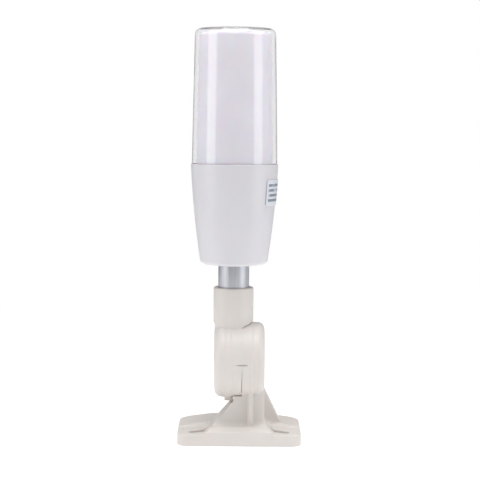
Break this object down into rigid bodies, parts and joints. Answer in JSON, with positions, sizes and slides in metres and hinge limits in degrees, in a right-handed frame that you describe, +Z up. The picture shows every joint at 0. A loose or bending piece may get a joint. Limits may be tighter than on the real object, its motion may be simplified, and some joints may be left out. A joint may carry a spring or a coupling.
{
  "type": "signal tower light on a folding bracket",
  "caption": "Status light: clear lamp cover over an opal sleeve, tapered white housing, aluminium pole and a folding two-knuckle bracket.",
  "frame": {"origin": "middle of the base plate's underside", "axes": "+X along the fold axis towards the base's own knuckle, +Y towards the rear fixing slot and the pole's clamp screw, +Z up along the pole"},
  "size_m": [0.0872, 0.0618, 0.2912],
  "materials": {
    "ivory_plastic": "satin, fine moulded grain",
    "white_plastic": "satin, very slightly lavender white",
    "clear_plastic": "clear, polished",
    "opal_plastic": "translucent opal",
    "aluminium": "drawn tube, satin anodised",
    "zinc_steel": "zinc plated",
    "black_rubber": "soft, matt",
    "grey_fibre": "pressed fibre",
    "green_board": "solder mask",
    "white_board": "white solder mask with yellow lamp faces",
    "black_component": "sleeved or moulded",
    "blue_terminal": "moulded",
    "label_print": "silver-blue printed film"
  },
  "bodies": {
    "bracket_base": {"base": "ivory_plastic", "friction_washer": "grey_fibre", "pivot_bolt": "zinc_steel", "pivot_nut": "zinc_steel", "pivot_flat_washer": "zinc_steel", "pivot_spring_washer": "zinc_steel"},
    "light_arm": {"pole_holder": "ivory_plastic", "pole_clamp_screw": "zinc_steel", "pole": "aluminium", "housing": "white_plastic", "rating_label": "label_print", "collar_bolt": "zinc_steel", "collar_nut": "zinc_steel", "chassis": "white_plastic", "chassis_screw_1": "zinc_steel", "chassis_screw_2": "zinc_steel", "chassis_screw_3": "zinc_steel", "driver_board": "green_board", "board_screw_1": "zinc_steel", "board_screw_2": "zinc_steel", "board_screw_3": "zinc_steel", "smoothing_capacitor": "black_component", "inductor": "grey_fibre", "terminal_block": "blue_terminal", "lamp_connector": "black_component", "led_carrier": "white_plastic", "carrier_screw_1": "zinc_steel", "carrier_screw_2": "zinc_steel", "carrier_screw_3": "zinc_steel", "led_board_1": "white_board", "led_board_2": "white_board", "led_board_3": "white_board", "diffuser": "opal_plastic", "lens_ring": "black_rubber"},
    "lens": {"lens_cover": "clear_plastic"}
  },
  "joints": [
    {"name": "fold", "type": "hinge", "parent": "bracket_base", "child": "light_arm", "pos_m": [0, 0, 0.057], "axis": [1, 0, 0], "range_deg": [-90, 90]},
    {"name": "lens_twist", "type": "hinge", "parent": "light_arm", "child": "lens", "pos_m": [-0.0047, 0, 0.1966], "axis": [0, 0, 1], "range_deg": [0, 25]}
  ]
}
